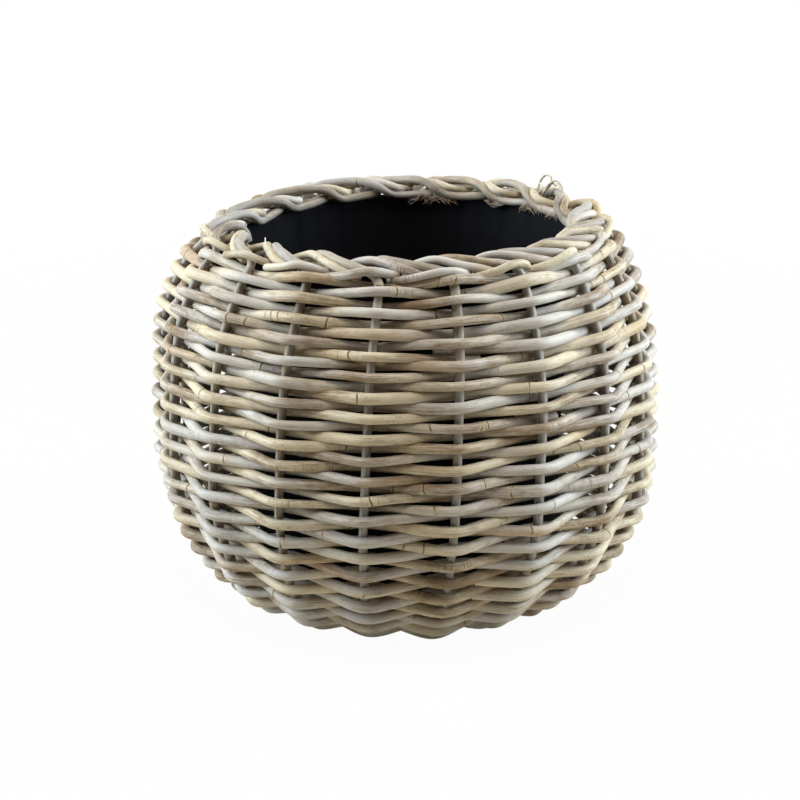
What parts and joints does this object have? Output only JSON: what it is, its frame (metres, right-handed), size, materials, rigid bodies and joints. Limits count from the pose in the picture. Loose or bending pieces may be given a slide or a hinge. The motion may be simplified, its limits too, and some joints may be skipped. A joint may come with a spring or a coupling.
{
  "type": "planter basket",
  "caption": "Round woven rattan planter basket with a full belly, an open weave of peeled rods over upright stakes, a wide flat plaited border and a loose dark film liner",
  "frame": {"origin": "centre of the basket on the surface it stands on", "axes": "+Z is the basket's axis, pointing up out of the mouth; -Y is the front seen in the picture, +X is the viewer's right"},
  "size_m": [0.403, 0.3984, 0.3034],
  "materials": {
    "stake_rattan": "satin",
    "border_rattan": "satin",
    "weaver_rattan": "satin",
    "liner_film": "satin film"
  },
  "bodies": {
    "root": {"through_stake_1": "stake_rattan", "through_stake_2": "stake_rattan", "through_stake_3": "stake_rattan", "through_stake_4": "stake_rattan", "through_stake_5": "stake_rattan", "through_stake_6": "stake_rattan", "through_stake_7": "stake_rattan", "through_stake_8": "stake_rattan", "through_stake_9": "stake_rattan", "border_rod_01": "border_rattan", "border_rod_02": "border_rattan", "border_rod_03": "border_rattan", "border_rod_04": "border_rattan", "border_rod_05": "border_rattan", "border_rod_06": "border_rattan", "border_rod_07": "border_rattan", "border_rod_08": "border_rattan", "border_rod_09": "border_rattan", "border_rod_10": "border_rattan", "border_rod_11": "border_rattan", "border_rod_12": "border_rattan", "border_rod_13": "border_rattan", "border_rod_14": "border_rattan", "border_rod_15": "border_rattan", "border_rod_16": "border_rattan", "border_rod_17": "border_rattan", "border_rod_18": "border_rattan", "base_weaver_a": "weaver_rattan", "base_weaver_b": "weaver_rattan", "side_weaver_a1": "weaver_rattan", "side_weaver_a2": "weaver_rattan", "side_weaver_a3": "weaver_rattan", "side_weaver_a4": "weaver_rattan", "side_weaver_a5": "weaver_rattan", "side_weaver_a6": "weaver_rattan", "side_weaver_b1": "weaver_rattan", "side_weaver_b2": "weaver_rattan", "side_weaver_b3": "weaver_rattan", "side_weaver_b4": "weaver_rattan", "side_weaver_b5": "weaver_rattan", "side_weaver_b6": "weaver_rattan", "film_liner": "liner_film"}
  },
  "joints": []
}
